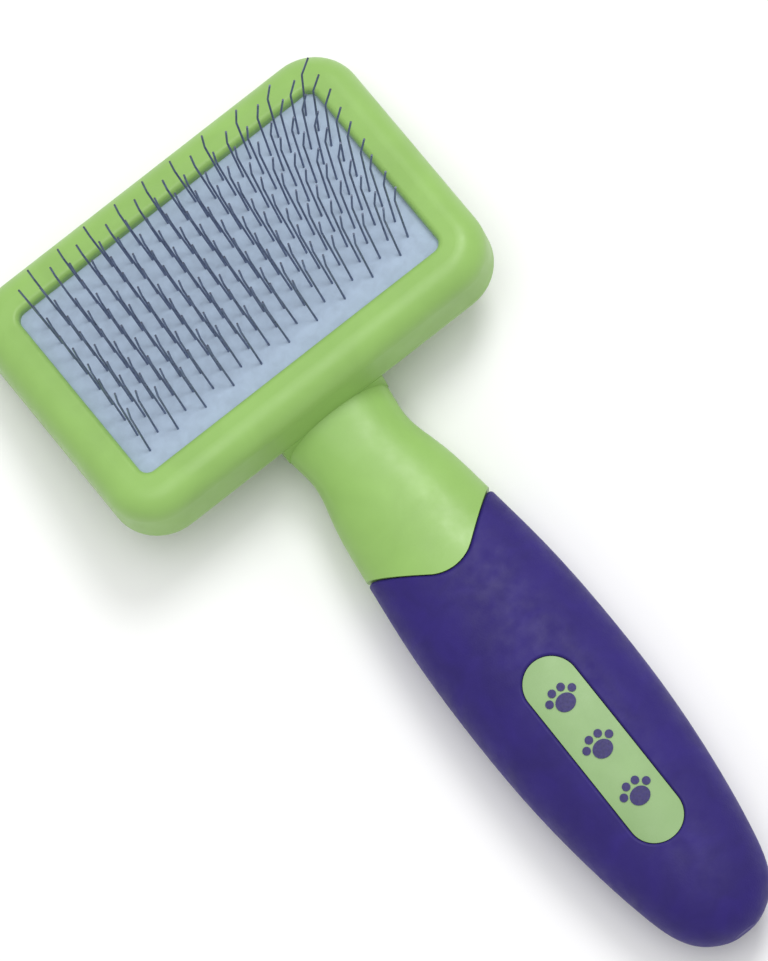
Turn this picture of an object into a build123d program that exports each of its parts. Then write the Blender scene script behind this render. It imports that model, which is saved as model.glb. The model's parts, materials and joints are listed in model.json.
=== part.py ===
from build123d import *
import math
import os

# A small slicker brush lying on its back, pins up. It rests on the far edge of the
# head and on the belly of the handle, with the neck between them clear of the table.
# Millimetres. X is across the brush, +Y runs towards the far end of the head and +Z is up.
# The origin is on the table, under the middle of the brush's outline.

# Head, in its own tilted plane: width across, length along, height through it
HEAD_TILT = 14.0            # the head's far end dips this many degrees
HEAD_WIDTH = 67.0
HEAD_LENGTH = 45.8
HEAD_HEIGHT = 11.0          # flat back to the top of the rim
HEAD_CORNER = 7.8
HEAD_BACK_ROUND = 2.4       # rounding of the back's outer edge
HEAD_CENTRE_Y = 46.7
RIM_WIDTH = 6.4             # pad opening to the head's outer wall
RIM_OUTER_ROUND = 3.8
RIM_INNER_ROUND = 0.9
OPENING_CORNER = 1.6
HEAD_WALL = 2.2
LIP_HEIGHT = 9.4            # underside of the lip that traps the pad
PARTING_HEIGHT = 2.6        # where the frame meets the body
PANEL_THICKNESS = 1.8       # of the head's flat back
SPIGOT_HEIGHT = 4.5
SPIGOT_WALL = 1.2
FIT_GAP = 0.12              # between the moulded parts that slot together
SKIN_GAP = 0.03             # between bonded skins

# Snap barbs on the spigot that the frame slides over
BARB_WIDTH = 8.0
BARB_DEPTH = 0.5
BARB_HEIGHT = 0.8
BARB_BASE = 3.4
BARB_SPACING = 32.0

# Handle: its straight axis runs out from under the head's near edge
HANDLE_TILT = 0.0           # the handle's end dips this many degrees
HANDLE_ROOT_HEIGHT = -2.575 # of the axis above the head's back, at the near wall
# Station along the axis from the near wall, half width and half thickness of the oval there
HANDLE_SHAPE = (
    (-18.0, 5.0, 1.8),
    (-9.0, 7.6, 3.9),
    (0.0, 8.9, 5.0),
    (4.6, 8.4, 5.0),
    (10.7, 9.6, 5.5),
    (20.8, 11.2, 6.6),
    (32.0, 12.5, 7.5),
    (47.2, 13.2, 8.0),
    (61.4, 12.9, 8.0),
    (73.6, 11.7, 7.45),
    (83.7, 10.0, 6.6),
    (91.3, 7.2, 4.95),
    (94.9, 0.0, 0.0),
)
HANDLE_ENDS = ((1, 0.3, 0.3), (0, -1, -0.7))     # direction of that outline at its two ends
HANDLE_OVALS = 48           # ovals that the handle is lofted through
SMALLEST_OVAL = 1.0         # half thickness of the last one
HANDLE_REACH = 120.0        # past the end of the handle, for cutting shapes
ROOT_END = 5.0              # station past which the neck's root is clear of the head
ROOT_LEDGE = 0.15           # step between the root's upright sides and its oval underside
GRIP_THICKNESS = 2.0
GRIP_TIP_START = 29.6       # station where the two halves of its V-shaped front edge would meet
GRIP_V_ANGLE = 38.3         # of each half from straight across
GRIP_TIP_ROUND = 6.0
GRIP_FRONT_ROUND = 0.6      # rounding of the V-shaped edge
GRIP_WINDOW_ROUND = 0.4     # and of the window round the badge
CORE_WALL = 2.0
CORE_SPLIT_START = 34.0     # where the core's lower half begins
CORE_CAVITY_START = 37.0
STUD_STATIONS = (43.0, 76.0)
STUD_RADIUS = 1.2
STUD_BOSS_RADIUS = 2.6
STUD_LENGTH = 2.6

# Badge in the grip's window
BADGE_LENGTH = 32.2
BADGE_WIDTH = 8.3
BADGE_STATION = 62.3
BADGE_RECESS = 0.3
BADGE_GAP = 0.08
MARK_HEIGHT = 0.15
PAW_COUNT = 3
PAW_PITCH = 8.6
PAW_PAD = 1.35
PAW_PAD_STRETCH = 1.15      # the pad is wider than it is long
PAW_TOE = 0.62
PAW_TOE_REACH = 2.35
PAW_TOE_BEARINGS = (30, 70, 110, 150)

# Pin pad
PAD_GAP = 0.35              # round the pad, inside the head
PAD_CORNER = 5.0
PAD_CLEARANCE = 0.05        # under the lip
FACE_THICKNESS = 1.4
PLY_THICKNESS = 0.5
FOAM_GAP = 0.3
WIRE_RADIUS = 0.16
ROWS = 18
ROW_PITCH = 1.59
ROWS_SHIFT = 0.2            # the rows sit this far towards the head's far end
STAPLES_PER_ROW = 5
PIN_PITCH = 2.54            # between columns; every other row is offset by one column
SHANK_HEIGHT = 0.35         # straight stretch above the face
LOWER_LEG = 7.2
UPPER_LEG = 4.5
LOWER_LEAN = 22.0           # away from the handle
UPPER_LEAN = -8.0           # back towards it, above the knee
WIRE_BEND = 0.7
LEAN_UNEVENNESS = 1.0       # degrees that single legs stray from their lean
FAN_RIGHT = 32.0            # sideways lean at the far right corner, in degrees
FAN_NEAR_SHARE = 0.35       # share of it at the near right corner
FAN_LEFT_NEAR = 5.0         # sideways lean at the near left corner, inwards
FAN_LEFT_FAR = -5.0         # and at the far left corner, outwards

os.makedirs("parts", exist_ok=True)


def tilted(angle, y, z):
    """Plane through (0, y, z), turned about X so that its +Y end dips by the angle."""
    turn = math.radians(angle)
    return Plane(origin=(0, y, z), x_dir=(1, 0, 0), z_dir=(0, math.sin(turn), math.cos(turn)))


# The rounded far edge of the head's back touches the table
edge_reach = HEAD_LENGTH / 2 - HEAD_BACK_ROUND
tilt = math.radians(HEAD_TILT)
head_z = edge_reach * math.sin(tilt) + HEAD_BACK_ROUND * (1 - math.cos(tilt))
HEAD = tilted(HEAD_TILT, HEAD_CENTRE_Y, head_z)
HEAD_UP = Axis(HEAD.origin, HEAD.z_dir)

root = HEAD.from_local_coords(Vector(0, -HEAD_LENGTH / 2, HANDLE_ROOT_HEIGHT))
HANDLE_TOP = tilted(-HANDLE_TILT, root.Y, root.Z)
HANDLE = Plane(origin=root, x_dir=(1, 0, 0), z_dir=-HANDLE_TOP.y_dir)
grip_tip_y = HANDLE.offset(GRIP_TIP_START).origin.Y

cavity_width = HEAD_WIDTH - 2 * HEAD_WALL
cavity_length = HEAD_LENGTH - 2 * HEAD_WALL
cavity_corner = HEAD_CORNER - HEAD_WALL
opening_width = HEAD_WIDTH - 2 * RIM_WIDTH
opening_length = HEAD_LENGTH - 2 * RIM_WIDTH
pad_width = cavity_width - 2 * PAD_GAP
pad_length = cavity_length - 2 * PAD_GAP
face_top = LIP_HEIGHT - PAD_CLEARANCE
face_base = face_top - FACE_THICKNESS
ply_base = face_base - PLY_THICKNESS
pad_base = ply_base - PLY_THICKNESS
crown_height = pad_base - WIRE_RADIUS
foam_top = crown_height - WIRE_RADIUS - PAD_CLEARANCE


def write(part, name):
    part.label = name
    export_step(part, f"parts/{name}.step")


def handle_ovals():
    """Station, half width and half thickness of the ovals along the neck and handle."""
    with BuildLine() as shape:
        Spline(*HANDLE_SHAPE, tangents=HANDLE_ENDS, tangent_scalars=(1, 1))
    return [shape.line @ (count / (HANDLE_OVALS - 1)) for count in range(HANDLE_OVALS)]


def handle_blank(growth=0.0, start=-20.0):
    """The handle's oval body from a station to its end, grown all round by growth."""
    with BuildPart() as blank:
        for oval in handle_ovals():
            if oval.X < start or oval.Z + growth < SMALLEST_OVAL:
                continue
            with BuildSketch(HANDLE.offset(oval.X)):
                Ellipse(oval.Y + growth, oval.Z + growth)
        loft()
    return blank.part


def grip_zone(gap=0.0):
    """Everything behind the grip's V-shaped front edge, moved back by gap."""
    side = HEAD_WIDTH / 2
    slope = math.tan(math.radians(GRIP_V_ANGLE))
    with BuildPart() as zone:
        with BuildSketch(HANDLE_TOP.offset(-side)) as outline:
            with BuildLine():
                Polyline(
                    (-side, -GRIP_TIP_START + slope * side - gap),
                    (0, -GRIP_TIP_START - gap),
                    (side, -GRIP_TIP_START + slope * side - gap),
                    (side, -HANDLE_REACH),
                    (-side, -HANDLE_REACH),
                    close=True,
                )
            make_face()
            tip = outline.vertices().sort_by_distance((root + HANDLE_TOP.y_dir * -GRIP_TIP_START))[0]
            fillet(tip, GRIP_TIP_ROUND)
        extrude(amount=2 * side)
    return zone.part


def badge_zone(gap=0.0):
    """Upright prism of the badge's rounded outline, grown by gap."""
    with BuildPart() as zone:
        with BuildSketch(HANDLE_TOP):
            with Locations((0, -BADGE_STATION)):
                SlotOverall(BADGE_LENGTH + 2 * gap, BADGE_WIDTH + 2 * gap, rotation=90)
        extrude(amount=HEAD_WIDTH)
    return zone.part


def core_back_zone(gap=0.0):
    """Everything below the handle's axis, from the station where the core splits."""
    with BuildPart() as zone:
        with BuildSketch(HANDLE_TOP):
            with Locations((0, -CORE_SPLIT_START - gap)):
                Rectangle(HEAD_WIDTH, HANDLE_REACH, align=(Align.CENTER, Align.MAX))
        extrude(amount=-HEAD_WIDTH)
    return zone.part


def studs(radius, below, above):
    """Round posts across the core's split, one at each stud station."""
    with BuildPart() as posts:
        with BuildSketch(HANDLE_TOP.offset(-below)):
            with Locations(*[(0, -station) for station in STUD_STATIONS]):
                Circle(radius)
        extrude(amount=below + above)
    return posts.part


def head_prism(width, length, corner, low, high):
    """Round-cornered block between two heights of the head."""
    with BuildPart() as prism:
        with BuildSketch(HEAD.offset(low)):
            RectangleRounded(width, length, corner)
        extrude(amount=high - low)
    return prism.part


def root_sides():
    """Sides of the neck's root, square to the head's back, so that the root has no undercut."""
    right = [(oval.Y + ROOT_LEDGE, -oval.X) for oval in handle_ovals() if oval.X < ROOT_END]
    left = [(-x, y) for x, y in right]
    with BuildPart() as sides:
        with BuildSketch(HANDLE_TOP):
            with BuildLine():
                Spline(*right)
                Spline(*left)
                Line(right[0], left[0])
                Line(right[-1], left[-1])
            make_face()
        extrude(amount=HEAD_HEIGHT, dir=HEAD.z_dir)
        add(
            head_prism(HEAD_WIDTH, HEAD_LENGTH, HEAD_CORNER, -HEAD_HEIGHT, PANEL_THICKNESS),
            mode=Mode.INTERSECT,
        )
    return sides.part


def barb_row(width, depth, height):
    """Bars that stand out of the spigot's two long sides, two on each."""
    reach = cavity_length / 2 - FIT_GAP
    with BuildPart() as bars:
        for side in (-1, 1):
            with BuildSketch(HEAD.offset(BARB_BASE + (BARB_HEIGHT - height) / 2)):
                with Locations((-BARB_SPACING / 2, side * reach), (BARB_SPACING / 2, side * reach)):
                    Rectangle(width, 2 * depth)
            extrude(amount=height)
    return bars.part


# Shapes that several pieces are cut from
outer_handle = handle_blank()
inner_handle = handle_blank(-GRIP_THICKNESS)
core_handle = handle_blank(-GRIP_THICKNESS - SKIN_GAP)
core_cavity = handle_blank(-GRIP_THICKNESS - CORE_WALL, CORE_CAVITY_START)
head_cavity = head_prism(cavity_width, cavity_length, cavity_corner, PANEL_THICKNESS, LIP_HEIGHT)


# Green frame of the head: its side walls and the rim that traps the pad
with BuildPart() as head_frame:
    with BuildSketch(HEAD):
        RectangleRounded(HEAD_WIDTH, HEAD_LENGTH, HEAD_CORNER)
    extrude(amount=HEAD_HEIGHT)
    fillet(head_frame.edges().group_by(HEAD_UP)[-1], RIM_OUTER_ROUND)
    with BuildSketch(HEAD.offset(PANEL_THICKNESS)):
        RectangleRounded(opening_width, opening_length, OPENING_CORNER)
    extrude(amount=HEAD_HEIGHT, mode=Mode.SUBTRACT)
    fillet(head_frame.faces().sort_by(HEAD_UP)[-1].inner_wires()[0].edges(), RIM_INNER_ROUND)
    add(head_cavity, mode=Mode.SUBTRACT)
    with BuildSketch(HEAD):
        Rectangle(2 * HEAD_WIDTH, 2 * HEAD_LENGTH)
    extrude(amount=PARTING_HEIGHT, mode=Mode.SUBTRACT)
    barb_slots = barb_row(BARB_WIDTH + 2 * FIT_GAP, BARB_DEPTH + FIT_GAP, BARB_HEIGHT + 2 * FIT_GAP)
    add(barb_slots, mode=Mode.SUBTRACT)
write(head_frame.part, "head_frame")


# Green body in one moulding: the head's back with its spigot and snap barbs, the neck,
# whose root fades out under the head, and the upper half of the handle's core
with BuildPart() as brush_body:
    with BuildSketch(HEAD):
        RectangleRounded(HEAD_WIDTH, HEAD_LENGTH, HEAD_CORNER)
    extrude(amount=PARTING_HEIGHT - SKIN_GAP)
    fillet(brush_body.edges().group_by(HEAD_UP)[0], HEAD_BACK_ROUND)
    add(outer_handle - grip_zone(-SKIN_GAP))
    add(root_sides())
    add(core_handle)
    with BuildSketch(HEAD.offset(PARTING_HEIGHT - SKIN_GAP)):
        with Locations((0, -HEAD_LENGTH / 2 - FIT_GAP)):
            Rectangle(HEAD_WIDTH, 2 * HEAD_LENGTH, align=(Align.CENTER, Align.MIN))
    extrude(amount=HEAD_HEIGHT, mode=Mode.SUBTRACT)
    spigot = head_prism(
        cavity_width - 2 * FIT_GAP,
        cavity_length - 2 * FIT_GAP,
        cavity_corner - FIT_GAP,
        PANEL_THICKNESS,
        SPIGOT_HEIGHT,
    )
    add(spigot)
    add(barb_row(BARB_WIDTH, BARB_DEPTH, BARB_HEIGHT))
    inside = head_prism(
        cavity_width - 2 * (FIT_GAP + SPIGOT_WALL),
        cavity_length - 2 * (FIT_GAP + SPIGOT_WALL),
        cavity_corner - FIT_GAP - SPIGOT_WALL,
        PANEL_THICKNESS,
        HEAD_HEIGHT,
    )
    add(inside, mode=Mode.SUBTRACT)
    add(core_back_zone(-SKIN_GAP), mode=Mode.SUBTRACT)
    add(core_cavity - studs(STUD_BOSS_RADIUS, 0, HEAD_HEIGHT), mode=Mode.SUBTRACT)
    add(studs(STUD_RADIUS + FIT_GAP / 2, SKIN_GAP, STUD_LENGTH + FIT_GAP), mode=Mode.SUBTRACT)
write(brush_body.part, "brush_body")


# Lower half of the hollow core inside the grip
with BuildPart() as handle_core_back:
    add(core_handle)
    add(core_back_zone(), mode=Mode.INTERSECT)
    add(core_cavity - studs(STUD_BOSS_RADIUS, HEAD_HEIGHT, 0), mode=Mode.SUBTRACT)
    add(studs(STUD_RADIUS, STUD_LENGTH, STUD_LENGTH))
write(handle_core_back.part, "handle_core_back")


# Purple soft overmould, open at the badge, with softened edges
with BuildPart() as handle_grip:
    add(outer_handle)
    add(grip_zone(), mode=Mode.INTERSECT)
    curved_edges = handle_grip.edges().filter_by(GeomType.BSPLINE)
    fillet(curved_edges.filter_by(lambda edge: edge.center().Y > grip_tip_y), GRIP_FRONT_ROUND)
    before_window = handle_grip.edges()
    add(badge_zone(BADGE_GAP), mode=Mode.SUBTRACT)
    window_edges = handle_grip.edges() - before_window
    fillet(window_edges.filter_by(GeomType.BSPLINE), GRIP_WINDOW_ROUND)
    add(inner_handle, mode=Mode.SUBTRACT)
write(handle_grip.part, "handle_grip")


# Green badge plate, sunk a little below the grip's surface
with BuildPart() as badge_plate:
    add(handle_blank(-BADGE_RECESS))
    add(badge_zone(), mode=Mode.INTERSECT)
    add(inner_handle, mode=Mode.SUBTRACT)
write(badge_plate.part, "badge_plate")


# Row of plain paw prints on the badge
with BuildPart() as badge_marks:
    with BuildSketch(HANDLE_TOP) as paws:
        with Locations((0, -BADGE_STATION)):
            with GridLocations(0, PAW_PITCH, 1, PAW_COUNT):
                Ellipse(PAW_PAD * PAW_PAD_STRETCH, PAW_PAD)
                for bearing in PAW_TOE_BEARINGS:
                    turn = math.radians(bearing)
                    with Locations((PAW_TOE_REACH * math.cos(turn), PAW_TOE_REACH * math.sin(turn))):
                        Circle(PAW_TOE)
    extrude(amount=HEAD_WIDTH)
    add(handle_blank(MARK_HEIGHT - BADGE_RECESS), mode=Mode.INTERSECT)
    add(handle_blank(-BADGE_RECESS), mode=Mode.SUBTRACT)
write(badge_marks.part, "badge_marks")


def pin_places(row):
    """Where a row's pins stand: every other column, offset by one on alternate rows."""
    row_y = ROWS_SHIFT + (row - (ROWS - 1) / 2) * ROW_PITCH
    first = -(4 * STAPLES_PER_ROW - 1) / 2 + row % 2
    return [((first + 2 * pin) * PIN_PITCH, row_y) for pin in range(2 * STAPLES_PER_ROW)]


def fan(x, y):
    """Sideways lean of a pin, in degrees: the right-hand side fans out most."""
    across = x / (opening_width / 2)
    along = 0.5 + y / opening_length
    if across > 0:
        return FAN_RIGHT * across ** 1.8 * (FAN_NEAR_SHARE + (1 - FAN_NEAR_SHARE) * along)
    return across ** 2 * (FAN_LEFT_NEAR + (FAN_LEFT_FAR - FAN_LEFT_NEAR) * along)


def leg(x, y, count):
    """A pin's points above the pad, from where it leaves the face to its tip."""
    sideways = math.tan(math.radians(fan(x, y) + LEAN_UNEVENNESS * math.sin(2 * count)))
    place = Vector(x, y, face_top + SHANK_HEIGHT)
    points = [place]
    for length, lean in ((LOWER_LEG, LOWER_LEAN), (UPPER_LEG, UPPER_LEAN)):
        along = math.tan(math.radians(lean + LEAN_UNEVENNESS * math.sin(3 * count)))
        place = place + Vector(sideways, along, 1).normalized() * length
        points.append(place)
    return points


# Flat plies of the pad, which the wires pierce: two of cloth under the rubber face
for name, low, high in (
    ("rubber_face", face_base, face_top),
    ("cloth_ply_front", ply_base, face_base),
    ("cloth_ply_back", pad_base, ply_base),
):
    write(head_prism(pad_width, pad_length, PAD_CORNER, low, high), name)


# Soft foam block between the head's back and the pad
foam_inset = 2 * (FIT_GAP + SPIGOT_WALL + FOAM_GAP)
foam_cushion = head_prism(
    cavity_width - foam_inset,
    cavity_length - foam_inset,
    PAD_CORNER - SPIGOT_WALL,
    PANEL_THICKNESS + PAD_CLEARANCE,
    foam_top,
)
write(foam_cushion, "foam_cushion")


# Wire pins: each staple is one wire with a crown behind the cloth and two bent legs
for row in range(ROWS):
    with BuildPart() as pin_row:
        places = pin_places(row)
        for staple in range(STAPLES_PER_ROW):
            (left_x, y), (right_x, _) = places[2 * staple:2 * staple + 2]
            count = row * 2 * STAPLES_PER_ROW + 2 * staple
            crown = [Vector(left_x, y, crown_height), Vector(right_x, y, crown_height)]
            points = leg(left_x, y, count)[::-1] + crown + leg(right_x, y, count + 1)
            with BuildLine(HEAD) as wire:
                FilletPolyline(*[tuple(point) for point in points], radius=WIRE_BEND)
            with BuildSketch(Plane(origin=wire.line @ 0, z_dir=wire.line % 0)):
                Circle(WIRE_RADIUS)
            sweep(path=wire.line)
    write(pin_row.part, f"pin_row_{row + 1:02d}")
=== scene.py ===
import json
import math

import bmesh
import bpy
import numpy as np
from mathutils import Matrix, Vector, noise


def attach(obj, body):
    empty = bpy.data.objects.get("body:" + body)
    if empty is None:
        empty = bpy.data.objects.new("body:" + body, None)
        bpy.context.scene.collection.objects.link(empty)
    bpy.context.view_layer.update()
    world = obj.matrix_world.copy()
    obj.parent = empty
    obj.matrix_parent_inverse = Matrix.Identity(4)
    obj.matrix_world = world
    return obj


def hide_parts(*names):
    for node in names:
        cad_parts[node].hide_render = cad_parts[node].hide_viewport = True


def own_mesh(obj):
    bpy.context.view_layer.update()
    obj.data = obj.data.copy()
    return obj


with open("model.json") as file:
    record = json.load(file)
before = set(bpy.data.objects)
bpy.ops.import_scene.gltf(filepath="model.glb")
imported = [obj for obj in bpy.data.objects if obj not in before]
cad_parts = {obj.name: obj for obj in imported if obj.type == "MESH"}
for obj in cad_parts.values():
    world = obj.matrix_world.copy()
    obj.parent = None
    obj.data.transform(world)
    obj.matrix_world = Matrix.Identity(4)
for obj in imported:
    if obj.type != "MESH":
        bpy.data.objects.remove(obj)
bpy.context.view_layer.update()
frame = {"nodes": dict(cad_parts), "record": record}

MM = 0.001
SEED = 11.0                 # where the unevenness starts in the noise field


# ---------------------------------------------------------------- places, from the frame

def mount(name):
    """A mount of the record, by name."""
    return next(entry for entry in frame["record"]["mounts"] if entry["name"] == name)


# The head's own frame: its back lies on w = 0, u runs across and v towards its far end
head_origin = Vector(mount("head_back")["pos_m"])
head_up = -Vector(mount("head_back")["axis"]).normalized()
head_across = Vector((1, 0, 0))
head_along = head_up.cross(head_across).normalized()
to_head = np.array((head_across, head_along, head_up))


def in_head(node):
    """A node's points in the head's frame, in metres."""
    mesh = frame["nodes"][node].data
    points = np.empty(len(mesh.vertices) * 3)
    mesh.vertices.foreach_get("co", points)
    return (points.reshape(-1, 3) - np.array(head_origin)) @ to_head.T


def from_head(points):
    """Points of the head's frame back in the shared frame."""
    return np.asarray(points) @ to_head + np.array(head_origin)


def head_box(node):
    """A node's lowest and highest corner in the head's frame."""
    points = in_head(node)
    return points.min(axis=0), points.max(axis=0)


PIN_ROWS = sorted(name for name in frame["nodes"] if name.startswith("pin_row_"))
face_low, face_high = head_box("rubber_face")
foam_low, foam_high = head_box("foam_cushion")


# A wire's upright shank: from this far above its crown to this far above the face
SHANK_START = 0.9 * MM
SHANK_END = 0.25 * MM
LEGS_APART = 1.0 * MM       # more than a wire's width, less than the pins' pitch


def pin_holes():
    """Where each wire comes through the face: the middle of its upright shank."""
    holes = []
    for name in PIN_ROWS:
        points = in_head(name)
        crown = points[:, 2].min()
        height = points[:, 2]
        shank = points[(height > crown + SHANK_START) & (height < face_high[2] + SHANK_END)]
        order = shank[np.argsort(shank[:, 0])]
        splits = np.nonzero(np.diff(order[:, 0]) > LEGS_APART)[0] + 1
        for group in np.split(order, splits):
            holes.append((group[:, :2].min(axis=0) + group[:, :2].max(axis=0)) / 2)
    return np.array(holes)


# ---------------------------------------------------------------- materials

class Paint:
    """A Principled material whose colour, roughness and bump come from procedural textures."""

    MOST_NOISE = (0.3, 0.7)         # the range that nearly all of a noise texture's values lie in
    UPRIGHT, LEANING = 0.9, 0.7     # height of a normal that counts as straight up, and as sideways
    WEAVE_WOBBLE = 0.6
    WAVE_SCALE = math.pi / 10       # a wave texture's scale for one ridge to each unit of length

    def __init__(self, name, roughness, metallic=0.0, specular=0.5, **sockets):
        self.material = bpy.data.materials.new(name)
        self.material.use_nodes = True
        self.tree = self.material.node_tree
        self.shader = self.tree.nodes["Principled BSDF"]
        self.set("Roughness", roughness)
        self.set("Metallic", metallic)
        self.set("Specular IOR Level", specular)
        for socket, value in sockets.items():
            self.set(socket.replace("_", " "), value)
        self.coords = self.tree.nodes.new("ShaderNodeTexCoord")
        self.normal = None

    def set(self, socket, value):
        self.shader.inputs[socket].default_value = value

    def link(self, source, target):
        self.tree.links.new(source, target)

    def mapped(self, stretch):
        mapping = self.tree.nodes.new("ShaderNodeMapping")
        mapping.inputs["Scale"].default_value = stretch
        self.link(self.coords.outputs["Object"], mapping.inputs["Vector"])
        return mapping.outputs["Vector"]

    def noise(self, size, detail=3.0, distortion=0.0, stretch=(1, 1, 1)):
        """Noise whose blotches are about size millimetres across."""
        node = self.tree.nodes.new("ShaderNodeTexNoise")
        node.inputs["Scale"].default_value = 1 / (size * MM)
        node.inputs["Detail"].default_value = detail
        node.inputs["Distortion"].default_value = distortion
        self.link(self.mapped(stretch), node.inputs["Vector"])
        return node.outputs["Fac"]

    def cells(self, size, feature="F1"):
        """Cells about size millimetres across."""
        node = self.tree.nodes.new("ShaderNodeTexVoronoi")
        node.feature = feature
        node.inputs["Scale"].default_value = 1 / (size * MM)
        self.link(self.mapped((1, 1, 1)), node.inputs["Vector"])
        return node.outputs["Distance"]

    def threads(self, pitch, direction, frame_turn):
        """Ridges pitch millimetres apart, for a weave."""
        mapping = self.tree.nodes.new("ShaderNodeMapping")
        mapping.inputs["Rotation"].default_value = frame_turn
        self.link(self.coords.outputs["Object"], mapping.inputs["Vector"])
        node = self.tree.nodes.new("ShaderNodeTexWave")
        node.bands_direction = direction
        node.inputs["Scale"].default_value = self.WAVE_SCALE / (pitch * MM)
        node.inputs["Distortion"].default_value = self.WEAVE_WOBBLE
        self.link(mapping.outputs["Vector"], node.inputs["Vector"])
        return node.outputs["Fac"]

    def sideways(self):
        """1 on surfaces that face sideways, 0 on those that face straight up."""
        parts = self.tree.nodes.new("ShaderNodeSeparateXYZ")
        self.link(self.coords.outputs["Normal"], parts.inputs["Vector"])
        fall = self.tree.nodes.new("ShaderNodeMapRange")
        fall.inputs["From Min"].default_value = self.UPRIGHT
        fall.inputs["From Max"].default_value = self.LEANING
        self.link(parts.outputs["Z"], fall.inputs["Value"])
        return fall.outputs["Result"]

    def times(self, first, second):
        """The product of two varying values."""
        node = self.tree.nodes.new("ShaderNodeMath")
        node.operation = "MULTIPLY"
        self.link(first, node.inputs[0])
        self.link(second, node.inputs[1])
        return node.outputs["Value"]

    def colours(self, source, *stops):
        """Base colour from a ramp of (position, colour) stops over source."""
        ramp = self.tree.nodes.new("ShaderNodeValToRGB")
        elements = ramp.color_ramp.elements
        while len(elements) < len(stops):
            elements.new(0.5)
        for element, (position, colour) in zip(elements, stops):
            element.position = position
            element.color = (*colour, 1)
        self.link(source, ramp.inputs["Fac"])
        self.link(ramp.outputs["Color"], self.shader.inputs["Base Color"])

    def rough(self, source, low, high):
        """Roughness that varies with source, mostly between low and high."""
        spread = self.tree.nodes.new("ShaderNodeMapRange")
        spread.inputs["From Min"].default_value = self.MOST_NOISE[0]
        spread.inputs["From Max"].default_value = self.MOST_NOISE[1]
        spread.inputs["To Min"].default_value = low
        spread.inputs["To Max"].default_value = high
        self.link(source, spread.inputs["Value"])
        self.link(spread.outputs["Result"], self.shader.inputs["Roughness"])

    def bump(self, source, depth, strength=1.0):
        """One more layer of relief, depth millimetres deep."""
        node = self.tree.nodes.new("ShaderNodeBump")
        node.inputs["Strength"].default_value = strength
        node.inputs["Distance"].default_value = depth * MM
        self.link(source, node.inputs["Height"])
        if self.normal is not None:
            self.link(self.normal, node.inputs["Normal"])
        self.normal = node.outputs["Normal"]
        self.link(self.normal, self.shader.inputs["Normal"])


def shades(colour, spread):
    """Two shades of a colour, darker and lighter by spread."""
    return [tuple(channel * (1 + sign * spread) for channel in colour) for sign in (-1, 1)]


def moulded_plastic(name, colour):
    """Satin moulded plastic: faint clouding, fine orange peel and a little handling wear."""
    paint = Paint(name, roughness=0.36, specular=0.45)
    dark, light = shades(colour, 0.05)
    paint.colours(paint.noise(9.0, 4, 0.6), (0.3, dark), (0.7, light))
    paint.rough(paint.noise(3.5, 5), 0.3, 0.46)
    paint.bump(paint.noise(0.9, 2), 0.012)
    paint.bump(paint.noise(0.16, 2), 0.003)
    return paint.material


def soft_touch():
    """Matte rubbery overmould: pebbled grain, a faint sheen and paler and darker blotches."""
    paint = Paint(
        "purple_soft_touch", roughness=0.6, specular=0.35,
        Sheen_Weight=0.06, Sheen_Roughness=0.5, Sheen_Tint=(0.55, 0.5, 0.9, 1),
    )
    dark, light = shades(GRIP_PURPLE, 0.14)
    paint.colours(paint.noise(6.0, 5, 0.8), (0.3, dark), (0.72, light))
    paint.rough(paint.noise(2.2, 5), 0.5, 0.68)
    paint.bump(paint.cells(0.32), 0.02, 0.6)
    paint.bump(paint.noise(0.12, 3), 0.006)
    return paint.material


def pad_print():
    """Thin ink, a little broken where the pad missed."""
    paint = Paint("badge_ink", roughness=0.5, specular=0.4)
    dark, light = shades(INK_PURPLE, 0.15)
    paint.colours(paint.noise(0.5, 4), (0.35, dark), (0.7, light))
    paint.rough(paint.noise(0.3, 3), 0.42, 0.6)
    paint.bump(paint.noise(0.1, 2), 0.003)
    return paint.material


def rubber():
    """Blue-grey rubber facing, finely mottled paler and darker."""
    paint = Paint("pad_rubber", roughness=0.72, specular=0.3)
    dark, light = shades(PAD_BLUE, 0.07)
    paint.colours(paint.noise(1.6, 6, 0.4), (0.3, dark), (0.7, light))
    paint.rough(paint.noise(0.8, 4), 0.62, 0.82)
    paint.bump(paint.noise(0.28, 4), 0.014)
    return paint.material


def cloth():
    """Plain weave of the ply under the rubber."""
    paint = Paint("ply_cloth", roughness=0.9, specular=0.2, Sheen_Weight=0.2)
    turn = (math.asin(-head_up.y), 0, 0)
    warp, weft = paint.threads(0.45, "X", turn), paint.threads(0.45, "Y", turn)
    dark, light = shades(CLOTH_CREAM, 0.1)
    paint.colours(warp, (0.1, dark), (0.9, light))
    paint.rough(paint.noise(0.6, 4), 0.82, 0.95)
    paint.bump(warp, 0.05)
    paint.bump(weft, 0.05)
    return paint.material


def foam():
    """Open-cell foam."""
    paint = Paint("open_cell_foam", roughness=0.95, specular=0.15)
    dark, light = shades(FOAM_CREAM, 0.16)
    paint.colours(paint.cells(0.7), (0.05, dark), (0.6, light))
    paint.rough(paint.noise(1.2, 4), 0.86, 1.0)
    paint.bump(paint.cells(0.5), 0.15)
    return paint.material


def drawn_wire():
    """Drawn steel wire: fine lengthways streaks, patchy shine, and painted shade on the faces that point
    straight up, mostly the cut ends.
    """
    paint = Paint("drawn_wire", roughness=0.4, metallic=0.7, specular=0.35)
    dark, light = shades(WIRE_STEEL, 0.25)
    streaks = paint.noise(0.35, 5, stretch=(1, 1, 0.12))
    # painted shade: faces that point straight up, mostly the cut ends, take the darkest colour at the
    # ramp's low end
    paint.colours(paint.times(streaks, paint.sideways()), (0.05, UPWARD_PAINTED_SHADE), (0.3, dark), (0.75, light))
    paint.rough(paint.noise(0.6, 4, stretch=(1, 1, 0.3)), 0.26, 0.48)
    paint.bump(paint.noise(0.12, 3, stretch=(1, 1, 0.08)), 0.004)
    return paint.material


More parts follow.
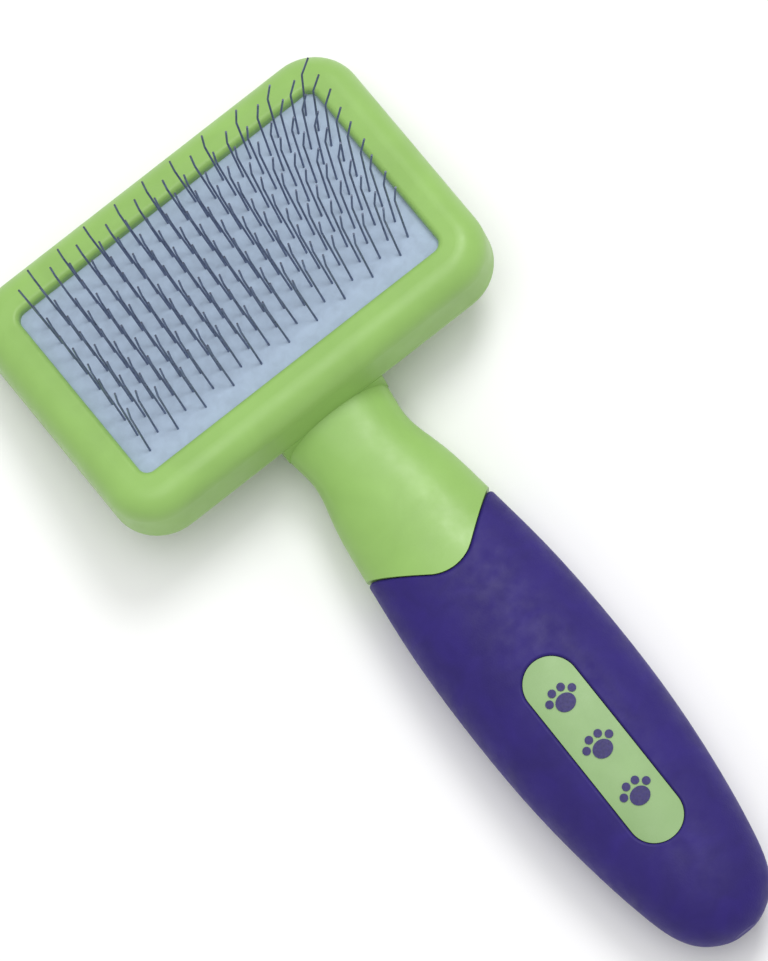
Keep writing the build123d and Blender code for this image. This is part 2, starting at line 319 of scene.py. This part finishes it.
HEAD_GREEN = (0.27, 0.47, 0.118)
BADGE_GREEN = (0.26, 0.42, 0.17)
GRIP_PURPLE = (0.019, 0.008, 0.145)
INK_PURPLE = (0.03, 0.022, 0.13)
PAD_BLUE = (0.36, 0.45, 0.57)
CLOTH_CREAM = (0.66, 0.62, 0.52)
FOAM_CREAM = (0.72, 0.66, 0.50)
WIRE_STEEL = (0.17, 0.2, 0.3)
# painted shade for wire faces that point straight up, mostly the cut ends
UPWARD_PAINTED_SHADE = (0.06, 0.07, 0.1)

green_plastic = moulded_plastic("green_plastic", HEAD_GREEN)
badge_plastic = moulded_plastic("badge_plastic", BADGE_GREEN)
wire_steel = drawn_wire()
ply_cloth = cloth()
NODE_MATERIALS = {
    "head_frame": green_plastic,
    "brush_body": green_plastic,
    "handle_core_back": green_plastic,
    "badge_plate": badge_plastic,
    "badge_marks": pad_print(),
    "handle_grip": soft_touch(),
    "cloth_ply_front": ply_cloth,
    "cloth_ply_back": ply_cloth,
    **{name: wire_steel for name in PIN_ROWS},
}


def paint_nodes():
    """Give every visible CAD node its material."""
    for name, material in NODE_MATERIALS.items():
        for place in frame["nodes"][name].material_slots:
            place.link = "OBJECT"
            place.material = material


# ---------------------------------------------------------------- soft pieces

def rounded_grid(low, high, corner, step):
    """Rows of points over a round-cornered rectangle, as arrays u and v."""
    middle = (low[:2] + high[:2]) / 2
    half = (high[:2] - low[:2]) / 2
    across, along = (int(2 * side / step) + 1 for side in half)
    even = np.linspace(-1, 1, along)
    v = half[1] * (even + np.sin(even * math.pi / 2)) / 2      # closer together at both ends
    into = np.clip(np.abs(v) - (half[1] - corner), 0, corner)
    width = half[0] - corner + np.sqrt(corner**2 - into**2)
    share = np.linspace(-1, 1, across)
    return middle[0] + np.outer(width, share), middle[1] + np.repeat(v[:, None], across, axis=1)


def closed_pad(name, u, v, top, bottom):
    """A closed mesh between two height fields over the same grid."""
    rows, columns = u.shape
    size = rows * columns
    points = np.concatenate([np.stack((u, v, w), axis=-1).reshape(-1, 3) for w in (top, bottom)])
    faces = []
    for row in range(rows - 1):
        for column in range(columns - 1):
            a = row * columns + column
            b, c, d = a + 1, a + columns + 1, a + columns
            faces.append((a, b, c, d))
            faces.append((size + d, size + c, size + b, size + a))
    rim = [(0, column) for column in range(columns)]
    rim += [(row, columns - 1) for row in range(1, rows)]
    rim += [(rows - 1, column) for column in range(columns - 2, -1, -1)]
    rim += [(row, 0) for row in range(rows - 2, 0, -1)]
    for (r0, c0), (r1, c1) in zip(rim, rim[1:] + rim[:1]):
        a, b = r0 * columns + c0, r1 * columns + c1
        faces.append((b, a, size + a, size + b))
    mesh = bpy.data.meshes.new(name)
    mesh.from_pydata(from_head(points).tolist(), [], faces)
    shape = bmesh.new()
    shape.from_mesh(mesh)
    bmesh.ops.recalc_face_normals(shape, faces=shape.faces)
    shape.to_mesh(mesh)
    shape.free()
    mesh.shade_smooth()
    piece = bpy.data.objects.new(name, mesh)
    bpy.context.scene.collection.objects.link(piece)
    return piece


def waves(u, v, size, depth):
    """Gentle unevenness over a grid, about size millimetres across and depth deep."""
    scale = 1 / (size * MM)
    heights = [noise.noise(Vector((a * scale, b * scale, SEED))) for a, b in zip(u.ravel(), v.ravel())]
    return depth * MM * np.array(heights).reshape(u.shape)


def edge_fall(u, v, low, high, width):
    """0 at the outline of a grid, rising to 1 at width inside it."""
    gap = np.minimum(
        np.minimum(u - low[0], high[0] - u), np.minimum(v - low[1], high[1] - v)
    )
    share = np.clip(gap / (width * MM), 0, 1)
    return share * share * (3 - 2 * share)


# Rubber face, in millimetres
FACE_CORNER, FACE_STEP = 5.0, 0.3           # corner radius, and spacing of the mesh
FACE_SWELL, SWELL_WIDTH = 0.35, 8.0         # swelling in the middle, and how far in from the edge it takes
LIP_DROP, LIP_WIDTH = 0.3, 0.6              # rounding of the outline
DIMPLE_DEPTH, DIMPLE_REACH = 0.16, 0.75     # dip round each wire
COLLAR_HEIGHT, COLLAR_RADIUS, COLLAR_WIDTH = 0.13, 0.3, 0.18       # raised ring against the wire
PUCKER_REACH = 2.0                          # past this the pucker has faded away
FACE_WAVE, FACE_WAVE_DEPTH = 5.0, 0.06


def make_pad_face():
    """Rubber face: it swells a little in the opening and puckers where each wire goes through."""
    u, v = rounded_grid(face_low, face_high, FACE_CORNER * MM, FACE_STEP * MM)
    inside = edge_fall(u, v, face_low, face_high, SWELL_WIDTH)
    swell = FACE_SWELL * MM * inside**2
    pucker = np.zeros_like(u)
    for hole_u, hole_v in pin_holes():
        near = np.maximum(np.abs(u - hole_u), np.abs(v - hole_v)) < PUCKER_REACH * MM
        reach = np.hypot(u[near] - hole_u, v[near] - hole_v) / MM
        dimple = DIMPLE_DEPTH * np.exp(-((reach / DIMPLE_REACH) ** 2))
        collar = COLLAR_HEIGHT * np.exp(-(((reach - COLLAR_RADIUS) / COLLAR_WIDTH) ** 2))
        pucker[near] += (collar - dimple) * MM
    lip = edge_fall(u, v, face_low, face_high, LIP_WIDTH)
    uneven = waves(u, v, FACE_WAVE, FACE_WAVE_DEPTH) * inside
    top = face_high[2] - LIP_DROP * MM * (1 - lip) + swell + pucker + uneven
    bottom = np.full_like(u, face_low[2])
    piece = closed_pad("pad_rubber_face", u, v, top, bottom)
    piece.data.materials.append(rubber())
    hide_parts("rubber_face")
    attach(piece, "pin_pad")


# Foam block, in millimetres
FOAM_CORNER, FOAM_STEP = 4.0, 0.8
FOAM_MARGIN = 0.15                          # keeps the pits inside the CAD's block
FOAM_EDGE_DROP, FOAM_EDGE_WIDTH = 0.5, 1.5
PIT_SIZE, PIT_DEPTH = 1.7, 0.12


def make_foam():
    """Foam block with rounded edges and pitted faces."""
    u, v = rounded_grid(foam_low, foam_high, FOAM_CORNER * MM, FOAM_STEP * MM)
    inside = edge_fall(u, v, foam_low, foam_high, FOAM_EDGE_WIDTH)
    shrink = (FOAM_MARGIN + FOAM_EDGE_DROP * (1 - inside)) * MM - waves(u, v, PIT_SIZE, PIT_DEPTH)
    top = foam_high[2] - shrink
    bottom = foam_low[2] + shrink
    piece = closed_pad("foam_block", u, v, top, bottom)
    piece.data.materials.append(foam())
    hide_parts("foam_cushion")
    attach(piece, "brush")
    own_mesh(piece)


# ---------------------------------------------------------------- camera and light

# The camera looks almost straight down, from a little towards the handle and the left
VIEW_TOWARDS_HANDLE = math.radians(11.0)
VIEW_TOWARDS_LEFT = math.radians(3.6)
HANDLE_ROLL = math.radians(52.0)       # the handle runs this far below the frame's horizontal
CAMERA_DISTANCE = 2.0
FRAME_WIDTH = 0.1103                   # width of the view at the brush
AIM = Vector((-0.0004, 0.0121, 0.0149))
SENSOR_WIDTH = 36
NEAREST, FARTHEST = 0.05, 20


def make_camera():
    """Camera over the brush, turned so that the handle runs to the lower right."""
    towards = Vector((-math.tan(VIEW_TOWARDS_LEFT), -math.tan(VIEW_TOWARDS_HANDLE), 1)).normalized()
    across = (Vector((1, 0, 0)) - towards * towards.x).normalized()
    along = towards.cross(across)
    down, side = math.sin(HANDLE_ROLL), math.cos(HANDLE_ROLL)
    right = across * down - along * side
    up = across * side + along * down
    data = bpy.data.cameras.new("camera")
    data.sensor_fit = "HORIZONTAL"
    data.sensor_width = SENSOR_WIDTH
    data.lens = data.sensor_width * CAMERA_DISTANCE / FRAME_WIDTH
    data.clip_start = NEAREST
    data.clip_end = FARTHEST
    camera = bpy.data.objects.new("camera", data)
    camera.matrix_world = Matrix.Translation(AIM + towards * CAMERA_DISTANCE) @ Matrix(
        (right, up, towards)
    ).transposed().to_4x4()
    bpy.context.scene.collection.objects.link(camera)
    bpy.context.scene.camera = camera


def area_light(name, place, size, power):
    """Disk light aimed at the frame's origin."""
    data = bpy.data.lights.new(name, "AREA")
    data.shape = "DISK"
    data.size = size
    data.energy = power
    light = bpy.data.objects.new(name, data)
    light.location = place
    light.rotation_euler = (-Vector(place)).to_track_quat("-Z", "Y").to_euler()
    bpy.context.scene.collection.objects.link(light)


FLOOR_REACH = 3.0
FLOOR_SHADES = ((0.93, 0.93, 0.93), (0.95, 0.95, 0.95))
WORLD_STRENGTH = 0.66
# Name, place and size in metres, and power in watts
LIGHTS = (
    ("key", (0.42, 0.34, 0.8), 0.35, 3.2),
    ("overhead", (0.0, 0.1, 0.95), 0.7, 2.6),
)


def make_studio():
    """Pale floor, even white surroundings, a key light from the right and far end, and one overhead."""
    mesh = bpy.data.meshes.new("floor")
    corners = [(-1, -1), (1, -1), (1, 1), (-1, 1)]
    mesh.from_pydata([(x * FLOOR_REACH, y * FLOOR_REACH, 0) for x, y in corners], [], [(0, 1, 2, 3)])
    floor = bpy.data.objects.new("floor", mesh)
    bpy.context.scene.collection.objects.link(floor)
    paint = Paint("floor_paper", roughness=0.9, specular=0.1)
    paint.colours(paint.noise(60.0, 2), (0.3, FLOOR_SHADES[0]), (0.7, FLOOR_SHADES[1]))
    mesh.materials.append(paint.material)
    world = bpy.data.worlds.new("world")
    world.use_nodes = True
    world.node_tree.nodes["Background"].inputs["Color"].default_value = (1, 1, 1, 1)
    world.node_tree.nodes["Background"].inputs["Strength"].default_value = WORLD_STRENGTH
    bpy.context.scene.world = world
    for light in LIGHTS:
        area_light(*light)
    bpy.context.scene.view_settings.view_transform = "Standard"


paint_nodes()
make_pad_face()
make_foam()
make_camera()
make_studio()
